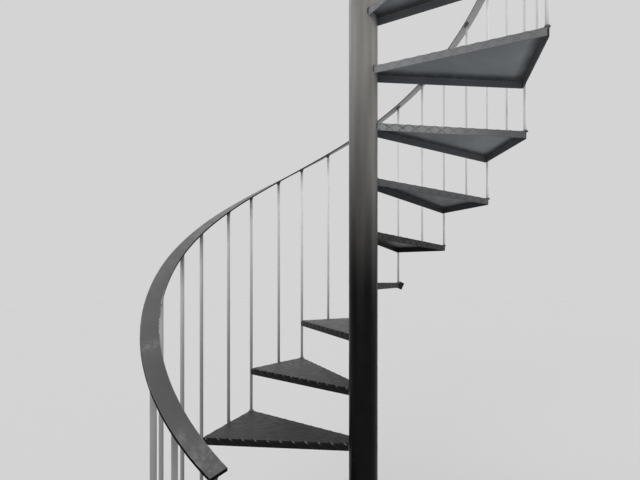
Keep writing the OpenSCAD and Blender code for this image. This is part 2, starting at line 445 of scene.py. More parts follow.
# The folded plate is one paint, but its parts get tones that are painted light and shade: the nosing is
# painted near black and the outer fold dark, as shade; the back fold and the underside are painted pale with
# a cool tint, as light, and dark on the lower treads, as shade; the inside of the folds is painted darker, as
# shade; the tops are painted darker on the lowest treads, as shade. One family of ribs on the nosing is
# painted paler as a highlight, and on the bend also as wear.
top_paint = enamel("tread_enamel", (84, 76, 92), 0.44, dust=0.40, dust_level=92, gloss=0.3,
                   painted_light_by_height=[(0.7, 1.3, grey(30), 0.7)])
top_rib_paint = enamel("tread_rib_enamel", (86, 78, 94), 0.42, dust=0.35, dust_level=94, speck=0.35,
                       gloss=0.3, painted_light_by_height=[(0.7, 1.3, grey(33), 0.7)])
nose_paint = enamel("tread_nosing_enamel", (14, 9, 25), 0.44, speck=0.2, gloss=0.12)
nose_rib_paint = enamel("tread_nosing_rib", (32, 16, 64), 0.40, speck=0.2, gloss=0.2)
worn_lit_rib_paint = enamel("tread_worn_lit_rib", (104, 56, 146), 0.34)
side_paint = enamel("tread_side_enamel", (58, 46, 72), 0.46, gloss=0.25)
side_rib_paint = enamel("tread_side_rib", (66, 50, 84), 0.42, gloss=0.25)
back_paint = enamel("tread_back_enamel", (139, 130, 147), 0.46, COOL, gloss=0.12, painted_light_by_height=BACK_PAINTED_SHADE,
                    outer=120)
back_rib_paint = enamel("tread_back_rib", (131, 122, 139), 0.46, COOL, gloss=0.12, painted_light_by_height=BACK_PAINTED_SHADE,
                        outer=114)
# That tread's back fold gets its own copies of the back paints: painted darker outwards as shade, and with
# painted shadows on its ribs near the column and outwards
shaded_back_paint = enamel("tread_shaded_back", (144, 134, 152), 0.46, COOL, gloss=0.12, outer=93)
rib_shadow_paint = enamel("tread_rib_shadow", (132, 122, 82), 0.50, COOL, gloss=0.12,
                         scuffs_and_painted_light=[(rib_shadow_place, 0.36, 1.0)], outer=97)
# The underside's soot is painted shade along its folds
under_paint = enamel("tread_underside_enamel", (140, 128, 146), 0.40, BLUISH, gloss=0.2,
                     painted_light_by_height=[(1.5, 2.12, grey(13), 0.98)], soot_and_fold_shade=0.16)
inside_paint = enamel("tread_inside_enamel", (104, 95, 112), 0.42, BLUISH, gloss=0.2,
                      painted_light_by_height=[(1.5, 2.12, grey(12), 0.98)])
plate_paints = [top_paint, top_rib_paint, nose_paint, nose_rib_paint, worn_lit_rib_paint,
                side_paint, side_rib_paint, back_paint, back_rib_paint, under_paint, inside_paint]
# The bars are painted nearly white high up and grey low down, as painted light and shade by height; their
# soot is weld soot
bar_paint = enamel("baluster_enamel", (243, 232, 246), 0.40, streaks=0.2, speck=0.1,
                   painted_light_by_height=[(0.92, 1.98, grey(136), 1.0)], soot_and_fold_shade=0.12)
weld_paint = weld_metal("weld_bead", grey(44), grey(76))
foot_weld_paint = weld_metal("baluster_foot_weld", grey(88), grey(124))
cleat_paint = enamel("cleat_enamel", (24, 16, 40), 0.50, speck=0.35, gloss=0.25)
# The handrail is painted paler at its lowest end and higher up, as painted light; its scuffs are wear
rail_paint = enamel("handrail_enamel", (84, 78, 132), 0.44, even=True, gloss=0.3, painted_light_by_height=RAIL_PAINTED_LIGHT,
                    scuffs_and_painted_light=[(rail_point(0.05), 0.08, 0.6), (rail_point(0.30, 0.012), 0.03, 0.5),
                            (rail_point(1.15, -0.006), 0.045, 0.5), (rail_point(5.2), 0.08, 0.35),
                            (rail_point(9.3), 0.09, 0.35), (rail_point(12.6), 0.07, 0.45)])
# The handrail's sides are painted near black, as shade
rail_side_shade_paint = enamel("handrail_side_painted_shade", (7, 4, 16), 0.60, speck=0.2, gloss=0.04)
# The edges with wear, which on the inner edge near step 1.5 also carry a painted highlight
rail_edge_paint = enamel("handrail_worn_lit_edge", (88, 80, 190), 0.38, speck=0.2, gloss=0.4, painted_light_by_height=RAIL_PAINTED_LIGHT,
                         scuffs_and_painted_light=[(rail_point(1.5, -0.02), 0.16, 1.0), (rail_point(0.1), 0.09, 0.7),
                                 (rail_point(0.75, 0.02), 0.05, 0.8), (rail_point(4.1), 0.10, 0.4),
                                 (rail_point(8.2), 0.14, 0.6), (rail_point(11.4), 0.12, 0.6)])


# Meshes

def tube_faces(rings, count, around=False):
    """The faces of a tube through rings of count points, with two flat ends or joined all around."""
    faces = []
    for i in range(rings if around else rings - 1):
        start, following = i * count, (i + 1) % rings * count
        for j in range(count):
            k = (j + 1) % count
            faces.append([start + j, start + k, following + k, following + j])
    if not around:
        last = (rings - 1) * count
        faces += [list(range(count))[::-1], [last + j for j in range(count)]]
    return faces


class Solid:
    """Gathers vertices and faces of one piece."""

    def __init__(self):
        self.points = []
        self.faces = []
        self.slots = []
        self.soot_and_fold_shade = []

    def add(self, points, faces, slot=0, soot_and_fold_shade=None):
        start = len(self.points)
        self.soot_and_fold_shade += soot_and_fold_shade or [0.0] * len(points)
        self.points += [tuple(p) for p in points]
        self.faces += [[start + i for i in face] for face in faces]
        self.slots += slot if isinstance(slot, list) else [slot] * len(faces)

    def loft(self, rings, slot, soot_and_fold_shade=None):
        """Joins rings of points into a tube with flat ends. Soot is given for each ring. A slot that is
        a function gets the place of each face in its ring, or None for an end."""
        count = len(rings[0])
        points = [p for ring in rings for p in ring]
        faces = tube_faces(len(rings), count)
        if callable(slot):
            slot = [slot(k % count) for k in range(len(faces) - 2)] + [slot(None)] * 2
        self.add(points, faces, slot, soot_and_fold_shade and [amount for amount in soot_and_fold_shade for _ in range(count)])

    def build(self, name, materials, replaced=(), sharp=32.0):
        mesh = bpy.data.meshes.new(name)
        mesh.from_pydata(self.points, [], self.faces)
        for material in materials:
            mesh.materials.append(material)
        mesh.polygons.foreach_set("material_index", self.slots)
        mesh.polygons.foreach_set("use_smooth", [True] * len(mesh.polygons))
        mesh.set_sharp_from_angle(angle=math.radians(sharp))
        if any(self.soot_and_fold_shade):
            mesh.attributes.new("soot_and_fold_shade", "FLOAT", "POINT").data.foreach_set("value", self.soot_and_fold_shade)
        mesh.validate()
        mesh.update()
        piece = put(name, mesh)
        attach(piece, "root")
        if replaced:
            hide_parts(*replaced)


def bead(solid, path, radius, seed, slot=0, closed=False, sides=7, ripple=0.0035):
    """A weld bead: a lumpy tube along a path, with the ripples of each pass."""
    shift = random.Random(seed).random() * 50
    rings = []
    travelled = 0.0
    for i, point in enumerate(path):
        before = path[i - 1] if i or closed else path[i]
        after = path[(i + 1) % len(path)] if i < len(path) - 1 or closed else path[i]
        along = (after - before).normalized()
        if i:
            travelled += (point - path[i - 1]).length
        side = along.cross(Vector((0, 0, 1)))
        if side.length < 0.3:
            side = along.cross(Vector((1, 0, 0)))
        side.normalize()
        other = along.cross(side)
        lump = 1 + 0.16 * math.sin(travelled * 2 * math.pi / ripple)
        lump += 0.30 * noise.noise(point * 120 + Vector((shift, 0, 0)))
        if not closed:
            lump *= min(1.0, 0.45 + 0.55 * min(i, len(path) - 1 - i))
        rings.append([point + (side * math.cos(t) + other * math.sin(t)) * radius * lump
                      for t in (2 * math.pi * k / sides for k in range(sides))])
    solid.add([p for ring in rings for p in ring], tube_faces(len(rings), sides, closed), slot)


def ring_path(centre, radius, count, height, start=0.0, sweep=2 * math.pi):
    """Points round a centre or along a part of it. The height is a number or a function of x and y."""
    steps = count if sweep == 2 * math.pi else count - 1
    path = []
    for i in range(count):
        t = start + sweep * i / steps
        x, y = centre[0] + radius * math.cos(t), centre[1] + radius * math.sin(t)
        path.append(Vector((x, y, height(x, y) if callable(height) else height)))
    return path


# Folded plates

def tray_outline(steps, back_lap):
    outline = [turned((0, -back_lap), -steps * STEP), turned((BACK_R, -EDGE_LAP), -steps * STEP)]
    outline += [turned((BACK_R, 0), -i * STEP) for i in range(steps - 1, 0, -1)]
    return outline + [Vector((FRONT_R, -EDGE_LAP)), Vector((FRONT_R, EDGE_LAP)), Vector((0, ROOT_LAP))]


def left_of(v):
    return Vector((-v.y, v.x))


def on_circle(p, direction, radius):
    """Where the line from p along direction leaves the circle about the axis."""
    b = p.dot(direction)
    return p + direction * (-b + math.sqrt(b * b - p.dot(p) + radius * radius))


def offset_path(path, d, root_first):
    """An open path moved to its left by d. The end at the root is cut to the column."""
    sides = [(b - a).normalized() for a, b in zip(path, path[1:])]
    moved = [path[0] + left_of(sides[0]) * d]
    for p, u, v in zip(path[1:], sides, sides[1:]):
        a, b = p + left_of(u) * d, p + left_of(v) * d
        gap = b - a
        moved.append(a + u * ((gap.x * v.y - gap.y * v.x) / (u.x * v.y - u.y * v.x)))
    moved.append(path[-1] + left_of(sides[-1]) * d)
    if root_first:
        moved[0] = on_circle(moved[0], sides[0], ROOT_R)
    else:
        moved[-1] = on_circle(moved[-1], -sides[-1], ROOT_R)
    return moved


def edge_slot(row, zone):
    """The slot of a face of a folded edge, by its row in the section."""
    if row < BEND_PARTS // 2:
        return TOP
    return zone if row < BEND_PARTS + OUTSIDE_ROWS else INSIDE


def section(depth):
    """The folded edge from the top plate round the bend to the underside, as insets and heights."""
    inner = BEND_R - PLATE_T
    turns = [math.pi / 2 * i / BEND_PARTS for i in range(BEND_PARTS + 1)]
    rows = [(BEND_R - BEND_R * math.sin(t), -BEND_R + BEND_R * math.cos(t)) for t in turns]
    rows += [(0, -depth + RIM), (RIM, -depth), (PLATE_T - RIM, -depth), (PLATE_T, -depth + RIM)]
    rows += [(BEND_R - inner * math.sin(t), -BEND_R + inner * math.cos(t)) for t in turns[::-1]]
    return rows


def fold_shade_at(inset):
    """How strong the painted shade is on the underside at a distance from the nearest fold."""
    for (near, more), (far, less) in zip(UNDER_FOLD_SHADE, UNDER_FOLD_SHADE[1:]):
        if inset <= far:
            return more + (less - more) * max(0.0, inset - near) / (far - near)
    return 0.0


def underside(solid, ring, front, angle, z):
    """The flat underside inside a ring of points, cut along the outer and front folds for the painted shade
    beside them.
    """
    sheet = bmesh.new()
    sheet.faces.new([sheet.verts.new((p.x, p.y, 0)) for p in reversed(ring)])
    folds = [(a, left_of((b - a).normalized())) for a, b in zip(front, front[1:])]
    for a, inward in folds:
        for inset, _ in UNDER_FOLD_SHADE[1:]:
            bmesh.ops.bisect_plane(sheet, geom=sheet.verts[:] + sheet.edges[:] + sheet.faces[:],
                                   plane_co=(a + inward * (BEND_R + inset)).to_3d(), plane_no=inward.to_3d())
    sheet.verts.index_update()
    flat = [v.co.xy for v in sheet.verts]
    fold_shade = [fold_shade_at(min((p - a).dot(inward) for a, inward in folds) - BEND_R) for p in flat]
    faces = [[v.index for v in face.verts] for face in sheet.faces]
    sheet.free()
    solid.add([place(p, angle, z) for p in flat], faces, UNDER, fold_shade)


def folded_plate(solid, plate):
    """The folded plate of a tread or the landing, open at its back outer corner."""
    steps, depth, back_lap, angle, z = plate
    outline = tray_outline(steps, back_lap)
    corner = outline[1]
    back_dir = (corner - outline[0]).normalized()
    side_dir = (outline[2] - corner).normalized()
    stop_back = corner - back_dir * NOTCH
    stop_side = corner + side_dir * NOTCH
    back = [outline[0], stop_back]
    front = [stop_side] + outline[2:]
    rows = section(depth)
    # The folded edges, one at the back and one along the outer side and the front
    strips = []
    front_zones = [SIDE] * (len(front) - 3) + [NOSE, NOSE]
    for path, root_first, zones in ((back, True, [BACK]), (front, False, front_zones)):
        rings = [[place(p, angle, z + h) for p in offset_path(path, d, root_first)] for d, h in rows]
        count = len(path)
        points = [p for ring in rings for p in ring]
        faces, slots = [], []
        for i in range(len(rings) - 1):
            for j in range(count - 1):
                a = i * count + j
                faces.append([a, a + count, a + count + 1, a + 1])
                slots.append(edge_slot(i, zones[j]))
        faces.append([i * count for i in range(len(rings))][::-1])
        faces.append([i * count + count - 1 for i in range(len(rings))])
        solid.add(points, faces, slots + [zones[0], zones[-1]])
        strips.append(rings)
    # The flat between them, closed by an arc at the column
    top = strips[0][0] + strips[1][0]
    under = strips[0][-1] + strips[1][-1]
    back_bend, front_bend = offset_path(back, BEND_R, True), offset_path(front, BEND_R, False)
    flat_ring = back_bend + front_bend
    a0, a1 = (math.atan2(p.y, p.x) for p in (flat_ring[-1], flat_ring[0]))
    parts = 5 + 6 * steps
    arc = [polar(ROOT_R, a0 + (a1 - a0) * i / parts) for i in range(1, parts)]
    top_arc = [place(p, angle, z) for p in arc]
    under_arc = [place(p, angle, z - PLATE_T) for p in arc]
    count = len(top) + len(arc)
    faces = [list(range(count))]
    for i in range(len(top) - 1, count):
        j = (i + 1) % count
        faces.append([i, count + i, count + j, j])
    gap = len(strips[0][0]) - 1
    faces.append([gap, count + gap, count + gap + 1, gap + 1])
    solid.add(top + top_arc + under + under_arc, faces, [TOP] + [UNDER] * (len(faces) - 1))
    underside(solid, flat_ring + arc, front, angle, z - PLATE_T)
    # The flat tip at the open corner
    tip = [back_bend[-1], stop_back, corner, stop_side, front_bend[0]]
    upper = [place(p, angle, z) for p in tip]
    lower = [place(p, angle, z - PLATE_T) for p in tip]
    n = len(tip)
    faces = [list(range(n)), [n + i for i in range(n)][::-1]]
    faces += [[i, n + i, n + (i + 1) % n, (i + 1) % n] for i in range(n)]
    solid.add(upper + lower, faces, [TOP, UNDER] + [SIDE] * n)


def clip(p, d, polygon):
    """The stretch of the line p + t d inside a convex anticlockwise polygon."""
    low, high = -10.0, 10.0
    for a, b in zip(polygon, polygon[1:] + polygon[:1]):
        inward = left_of(b - a)
        rate, start = d.dot(inward), (p - a).dot(inward)
        if abs(rate) < 1e-12:
            if start < 0:
                return None
            continue
        t = -start / rate
        if rate > 0:
            low = max(low, t)
        else:
            high = min(high, t)
    return (low, high) if high - low > 2 * RIB_END else None


class Fold:
    """One side of a plate, with the surface rolled out flat from its bend line: u along it, d outwards."""

    def __init__(self, start, end, plate):
        self.start, self.along = start, (end - start).normalized()
        self.out = -left_of(self.along)
        self.length = (end - start).length
        self.angle, self.z = plate.angle, plate.z
        self.bend = math.pi / 2 * BEND_R
        self.reach = self.bend + plate.depth - BEND_R - RIB_OFF_EDGE

    def point(self, u, d, h):
        """The place of a point of the rolled-out surface, or of one at a height h over it."""
        if d <= 0:
            out, height = d, h
        elif d < self.bend:
            turn = d / BEND_R
            out = (BEND_R + h) * math.sin(turn)
            height = (BEND_R + h) * math.cos(turn) - BEND_R
        else:
            out, height = BEND_R + h, -BEND_R - (d - self.bend)
        return place(self.start + self.along * u + self.out * out, self.angle, self.z + height)

    def flat(self, p):
        """A point of the plate in this side's own directions."""
        q = p - self.start
        return Vector((q.dot(self.along), q.dot(self.out)))


def rib_height(d):
    """Ribs are lower on the trodden top than on the folds."""
    return TOP_RIB_H if d < 0 else RIB_H


def rib(solid, fold, a, b, lift, zones):
    """One raised rib from a to b in the rolled-out surface, following the bend, with sloping ends.
    The zones are the slots of the rib's top and flanks on the plate, on the bend and on the fold."""
    along = b - a
    length = along.length
    along.normalize()
    across = left_of(along)
    cuts = {0.0, RIB_END, length - RIB_END, length}
    if abs(along.y) > 1e-6:
        for i in range(BEND_PARTS + 1):
            t = (fold.bend * i / BEND_PARTS - a.y) / along.y
            if RIB_END < t < length - RIB_END:
                cuts.add(t)
    rings = []
    cuts = sorted(cuts)
    for t in cuts:
        end = t in (0.0, length)
        height = -RIB_SINK / 2 if end else rib_height(a.y + along.y * t) + lift
        ring = []
        for side, h in ((-RIB_BASE, -RIB_SINK), (-RIB_TOP, height), (RIB_TOP, height), (RIB_BASE, -RIB_SINK)):
            q = a + along * t + across * side / 2
            ring.append(fold.point(q.x, q.y, h))
        rings.append(ring)
    points = [p for ring in rings for p in ring]
    faces, slots = [], []
    for i, (t0, t1) in enumerate(zip(cuts, cuts[1:])):
        d = a.y + along.y * (t0 + t1) / 2
        crown, flank = zones[(d >= 0.2 * fold.bend) + (d >= fold.bend)]
        for j in range(4):
            p0, p1 = 4 * i + j, 4 * i + (j + 1) % 4
            faces.append([p0, p0 + 4, p1 + 4, p1])
            slots.append(crown if j == 1 else flank)
    last = 4 * (len(rings) - 1)
    faces += [[0, 1, 2, 3], [last + 3, last + 2, last + 1, last]]
    solid.add(points, faces, slots + [slots[2], slots[-2]])


def rib_lattice(solid, fold, regions, zones, phase=0.0, row=0.0):
    """Both families of ribs over regions of the rolled-out surface. They cross at the distance row from
    the bend line."""
    # The lines start so far beyond the fold's ends that the slanting ones reach all of the plate
    beyond = 1.2
    for family, lift in ((1, 0.0), (-1, RIB_CROSS_LIFT)):
        direction = Vector((RIB_PITCH, family * RIB_DEPTH)).normalized()
        for i in range(int(-beyond / RIB_PITCH), int((fold.length + beyond) / RIB_PITCH) + 1):
            origin = Vector((phase + i * RIB_PITCH, row))
            stretches = [c for c in (clip(origin, direction, region) for region in regions) if c]
            stretches.sort()
            joined = []
            for low, high in stretches:
                if joined and low - joined[-1][1] < RIB_JOIN:
                    joined[-1][1] = high
                else:
                    joined.append([low, high])
            for low, high in joined:
                rib(solid, fold, origin + direction * low, origin + direction * high, lift, zones[family])


def box_region(u0, u1, d0, d1):
    return [Vector((u0, d0)), Vector((u1, d0)), Vector((u1, d1)), Vector((u0, d1))]


def plate_ribs(solid, plate, back_ribs):
    """The ribs on top of a plate and on its folds."""
    outline = tray_outline(plate.steps, plate.back_lap)
    inner = offset_path(outline, BEND_R + RIB_OFF_BEND, True)
    inner[-1] = offset_path(outline, BEND_R + RIB_OFF_BEND, False)[-1]
    # The front side, whose lattice runs on over the top of the plate
    ring = offset_path(outline, BEND_R, False)
    fold = Fold(ring[-2], ring[-1], plate)
    top = convex_hull([fold.flat(p) for p in inner])
    strip = box_region(RIB_OFF_END, fold.length - RIB_OFF_END, 0.0, fold.reach)
    plain_top = (TOP_RIB, TOP)
    # On the nosing only one family of ribs is painted paler, as a highlight that on the bend is also wear;
    # the other family is painted like the nosing
    zones = {1: (plain_top, (WORN_LIT_RIB, NOSE), (NOSE_RIB, NOSE)), -1: (plain_top, (NOSE, NOSE), (NOSE, NOSE))}
    rib_lattice(solid, fold, [top, strip], zones)
    # The outer sides and the back side
    zones = {family: (plain_top, (SIDE_RIB, SIDE), (SIDE_RIB, SIDE)) for family in (1, -1)}
    for k, (a, b) in enumerate(zip(outline[1:-3], outline[2:-2])):
        inward = left_of((b - a).normalized())
        fold = Fold(a + inward * BEND_R, b + inward * BEND_R, plate)
        first = NOTCH + RIB_OFF_END if k == 0 else RIB_OFF_CORNER
        region = box_region(first, fold.length - RIB_OFF_END, 0.0, fold.reach)
        rib_lattice(solid, fold, [region], zones, SIDE_RIB_PHASE)
    if back_ribs:
        direction = (outline[1] - outline[0]).normalized()
        start = on_circle(offset_path(outline, BEND_R, True)[0], direction, ROOT_R)
        fold = Fold(start, outline[1] + left_of(direction) * BEND_R, plate)
        zones = {family: (plain_top, (BACK_RIB, BACK_RIB), (BACK_RIB, BACK_RIB)) for family in (1, -1)}
        region = box_region(RIB_OFF_ROOT, fold.length - NOTCH - RIB_OFF_END, 0.0, fold.reach)
        rib_lattice(solid, fold, [region], zones, BACK_RIB_PHASE, BACK_RIB_ROW)


def convex_hull(points):
    """The convex hull of points, anticlockwise."""
    ordered = sorted({(round(p.x, 6), round(p.y, 6)) for p in points})

    def half(sequence):
        chain = []
        for p in sequence:
            while len(chain) > 1 and ((chain[-1][0] - chain[-2][0]) * (p[1] - chain[-2][1])
                                      - (chain[-1][1] - chain[-2][1]) * (p[0] - chain[-2][0])) <= 0:
                chain.pop()
            chain.append(p)
        return chain[:-1]

    return [Vector(p) for p in half(ordered) + half(ordered[::-1])]


def root_weld(solid, plate, seed):
    """Beads where a plate's root meets the column, above, below and down both folds."""
    steps, depth, back_lap, angle, z = plate
    outline = tray_outline(steps, back_lap)
    front = on_circle(outline[-1], Vector((1, 0)), COLUMN_R)
    back = on_circle(outline[0], (outline[1] - outline[0]).normalized(), COLUMN_R)
    a0, a1 = (angle + math.atan2(p.y, p.x) for p in (front, back))
    r = COLUMN_R + ROOT_WELD_OUT
    count = 9 + 8 * steps
    for height, past in zip((z + 0.0004, z - PLATE_T - 0.0004), ROOT_WELD_PAST):
        sweep = a1 - a0 + 2 * past
        path = [polar(r, a0 - past + sweep * i / (count - 1), height) for i in range(count)]
        bead(solid, path, ROOT_WELD_R, seed, sides=6)
    top = z - BEND_R * 0.4
    for k, a in enumerate((a0 + ROOT_WELD_IN, a1 - ROOT_WELD_IN)):
        path = [polar(r, a, top - (depth - 0.006) * i / 9) for i in range(10)]
        bead(solid, path, ROOT_WELD_SIDE_R, seed + 1 + k, sides=6)


# Balusters

def bar(solid, p, s_front, z_foot):
    """A round bar at p, from z_foot to the handrail's underside, and the weld under the rail."""
    centre = place(p, line_angle(s_front), 0.0)
    s = s_front - math.degrees(math.atan2(p[1], p[0])) / STEP
    r = BAR_D / 2
    uphill = -left_of(centre.xy.normalized())

    def below_rail(drop):
        """Gives the height at a drop below the handrail, over any point near the bar."""
        def height(x, y):
            shift = (Vector((x, y)) - centre.xy).dot(uphill)
            return rail_under(s + math.degrees(shift / BAR_CIRCLE) / STEP) - drop
        return height

    rings = [ring_path(centre, r, BAR_SIDES, z_foot + rise) for rise, _ in BAR_FOOT_SOOT]
    rings += [ring_path(centre, r, BAR_SIDES, below_rail(drop)) for drop, _ in BAR_TOP_SOOT]
    solid.loft(rings, BAR, [amount for _, amount in BAR_FOOT_SOOT + BAR_TOP_SOOT])
    collar = []
    for drop, spread in BAR_COLLAR:
        uneven = 1 + 0.25 * noise.noise(Vector((s * 7.3, drop * 400, 5.0)))
        collar.append(ring_path(centre, r + spread * uneven, BAR_SIDES, below_rail(drop)))
    solid.loft(collar, RAIL_WELD)
    rim = ring_path(centre, r + 0.0040, 30, below_rail(0.0))
    bead(solid, rim, 0.0015, int(s * 8 + 40), RAIL_WELD, closed=True, sides=6)
    return centre, s


def foot_weld(solid, centre, z, seed):
    path = ring_path(centre, BAR_D / 2 + 0.0012, 26, z + 0.0008)
    bead(solid, path, 0.0030, seed, FOOT_WELD, closed=True, sides=6)


def side_weld(solid, centre, z_top, seed):
    """Beads down both sides of a bar where it passes a plate's corner."""
    inward = -centre.normalized()
    across = left_of(inward).to_3d()
    for side in (-1, 1):
        start = centre + inward * (BAR_D / 2 - 0.0012) + across * side * 0.0042
        path = [Vector((start.x, start.y, z_top - SIDE_WELD_L * i / 8)) for i in range(9)]
        bead(solid, path, 0.0026, seed + side, FOOT_WELD, sides=6)


def edge_bar(solid, i, steps, s_front, z_top):
    """The bar at the middle of a plate's outer edge, or of its edge i where it has several."""
    start = Vector((FRONT_R, -EDGE_LAP)) if i == 0 else turned((BACK_R, 0), -i * STEP)
    end = turned((BACK_R, -EDGE_LAP if i == steps - 1 else 0), -(i + 1) * STEP)
    outward = left_of(end - start).normalized()
    middle = (start + end) / 2
    centre, s = bar(solid, middle + outward * BAR_D / 2, s_front, z_top - BAR_FOOT_DROP)
    away = place(outward, line_angle(s_front), 0)
    turn = math.atan2(-away.y, -away.x) - EDGE_BEAD_TURN / 2
    for k, (drop, radius) in enumerate(EDGE_BEADS):
        path = ring_path(centre, BAR_D / 2 + 0.0008, 15, z_top - drop, turn, EDGE_BEAD_TURN)
        bead(solid, path, radius, int(s * 16 + 90) + k, FOOT_WELD, sides=6)


def corner_bar(solid, line, z_foot, z_next):
    """The bar on a plate's back outer corner, which also passes the next plate's front corner."""
    centre, s = bar(solid, (BAR_CIRCLE, 0), line, z_foot)
    foot_weld(solid, centre, z_foot, int(s * 16 + 300))
    if z_next is not None:
        side_weld(solid, centre, z_next - SIDE_WELD_DROP, int(s * 16 + 500))


# The handrail

def handrail():
    solid = Solid()
    r = RAIL_EDGE_R
    side, top = RAIL_W / 2 - r, RAIL_T - r
    corners = [(side, top, 0), (-side, top, 90), (-side, r, 180), (side, r, 270)]
    outline = [(x + r * math.cos(math.radians(t + 30 * k)), y + r * math.sin(math.radians(t + 30 * k)))
               for x, y, t in corners for k in range(4)]
    outline.insert(4, (-side + RAIL_WORN_LIT_W, RAIL_T))
    first, last = -LEAD_STEPS, LAST_STEP + LEAD_STEPS
    count = int((last - first) * RAIL_PARTS)
    rings = []
    for i in range(count + 1):
        s = first + (last - first) * i / count
        a = line_angle(s)
        ring = []
        for x, y in outline:
            # The inner and the outer side each wander a little
            wander = 0.0005 * noise.noise(Vector((s * 1.9, 7.0 if x > 0 else 3.0, 0)))
            wander += 0.0002 * noise.noise(Vector((s * 9.0, 17.0 if x > 0 else 13.0, 0)))
            ring.append(polar(BAR_CIRCLE + x + wander, a, rail_under(s) + y * rail_plumb(s)))
        rings.append(ring)
    # The outline starts at the outer side, goes over the top to the inner side and back underneath
    # Both sides are painted near black as shade; the strip of wear and the inner top edge also carry a
    # painted highlight near step 1.5
    sides, wear_and_painted_light = (0, 1, 8, 9, 15, 16), (2, 4, 5, 6, 7)
    solid.loft(rings, lambda j: 1 if j is None or j in sides else 2 if j in wear_and_painted_light else 0)
    names = [f"handrail_{i}" for i in range(1, RAIL_LENGTHS + 1)] + ["handrail_landing"]
    paints = [rail_paint, rail_side_shade_paint, rail_edge_paint]
    solid.build("handrail_bar", paints, names, sharp=40.0)


def column():
    """The tube, turned about its axis, and the beads at its foot and under its cap."""
    inner, sides = COLUMN_R - COLUMN_WALL, 96
    profile = [(COLUMN_R, BASE_T), (COLUMN_R, COLUMN_TOP), (inner, COLUMN_TOP), (inner, BASE_T)]
    turns = [2 * math.pi * k / sides for k in range(sides)]
    points = [polar(r, t, z) for t in turns for r, z in profile]
    tube = Solid()
    tube.add(points, [[a, d, c, b] for a, b, c, d in tube_faces(sides, len(profile), around=True)])
    tube.build("column_tube", [column_paint], ["column"])
    weld = Solid()
    foot = ring_path((0, 0), COLUMN_R + 0.001, 120, BASE_T + 0.001)
    head = ring_path((0, 0), COLUMN_R - 0.0012, 120, COLUMN_TOP)
    bead(weld, foot, 0.0042, 11, closed=True, sides=8, ripple=0.005)
    bead(weld, head, 0.0019, 12, closed=True, sides=6, ripple=0.005)
    weld.build("column_welds", [weld_paint])


def stepping_plate(plate_name, weld_name, node, plate, paints, seed, back_ribs=True):
    """The plate of a tread or the landing, which replaces its node, and the beads at its root."""
    solid = Solid()
    folded_plate(solid, plate)
    plate_ribs(solid, plate, back_ribs)
    solid.build(plate_name, paints, [node])
    weld = Solid()
    root_weld(weld, plate, seed)
    weld.build(weld_name, [weld_paint])


def treads():
    for i in range(1, TREADS + 1):
        paints = list(plate_paints)
        if i == SHADED_RIB_TREAD:
            paints[BACK], paints[BACK_RIB] = shaded_back_paint, rib_shadow_paint
        plate = Plate(1, FLANGE_H, ROOT_LAP, line_angle(i - 1), RISE * i)
        stepping_plate(f"tread_plate_{i}", f"tread_weld_{i}", f"tread_{i}", plate, paints, 700 + 10 * i)
    plate = Plate(LANDING_STEPS, LANDING_FLANGE_H, EDGE_LAP, line_angle(TREADS), LANDING_Z)
    stepping_plate("landing_plate", "landing_weld", "landing", plate, plate_paints, 900, back_ribs=False)


def balusters():
    paints = [bar_paint, weld_paint, foot_weld_paint]
    for i in range(1, TREADS + 1):
        solid = Solid()
        edge_bar(solid, 0, 1, i - 1, RISE * i)
        corner_bar(solid, i, RISE * i, RISE * (i + 1))
        solid.build(f"baluster_pair_{i}", paints, [f"balusters_{i}"])
    solid = Solid()
    for i in range(LANDING_STEPS):
        edge_bar(solid, i, LANDING_STEPS, TREADS, LANDING_Z)
    for i in range(1, LANDING_STEPS + 1):
        corner_bar(solid, TREADS + i, LANDING_Z, None)
    solid.build("baluster_row_landing", paints, ["landing_balusters"])
    solid = Solid()
    corner_bar(solid, 0, FOOT_T, RISE)
    foot_plate(solid)
    solid.build("baluster_start", paints, ["starting_baluster"])


def loose_object(name, shape):
    """An object made of a bmesh, which is freed."""
    mesh = bpy.data.meshes.new(name)
    shape.to_mesh(mesh)
    shape.free()
    return put(name, mesh)


def foot_plate(solid):
    """The first bar's square foot, with its two screw holes and a small chamfer."""
    chamfer, hole_sides = 0.0008, 24
    block = bmesh.new()
    bmesh.ops.create_cube(block, size=1.0)
    for v in block.verts:
        v.co = Vector((v.co.x * FOOT_SIDE, v.co.y * FOOT_SIDE, (v.co.z + 0.5) * FOOT_T))
    bmesh.ops.bevel(block, geom=list(block.edges), offset=chamfer, segments=2, affect="EDGES", profile=0.5)
    blank = loose_object("foot_blank", block)
    cutters = []
    for side in (-1, 1):
        cutter = bmesh.new()
        bmesh.ops.create_cone(cutter, cap_ends=True, segments=hole_sides, radius1=FOOT_HOLE_D / 2,
                              radius2=FOOT_HOLE_D / 2, depth=FOOT_T * 3)
        middle = (0, side * (FOOT_SIDE / 2 - FOOT_HOLE_INSET), FOOT_T / 2)
        bmesh.ops.translate(cutter, verts=list(cutter.verts), vec=middle)
        tool = loose_object("foot_cutter", cutter)
        change = blank.modifiers.new("hole", "BOOLEAN")
        change.operation, change.object, change.solver = "DIFFERENCE", tool, "EXACT"
        cutters.append(tool)
    bpy.context.view_layer.update()
    shaped = bpy.data.meshes.new_from_object(blank.evaluated_get(bpy.context.evaluated_depsgraph_get()))
    points = [place((v.co.x + BAR_CIRCLE, v.co.y), line_angle(0), v.co.z) for v in shaped.vertices]
    solid.add(points, [list(p.vertices) for p in shaped.polygons])
    for extra in [blank] + cutters:
        bpy.data.objects.remove(extra)


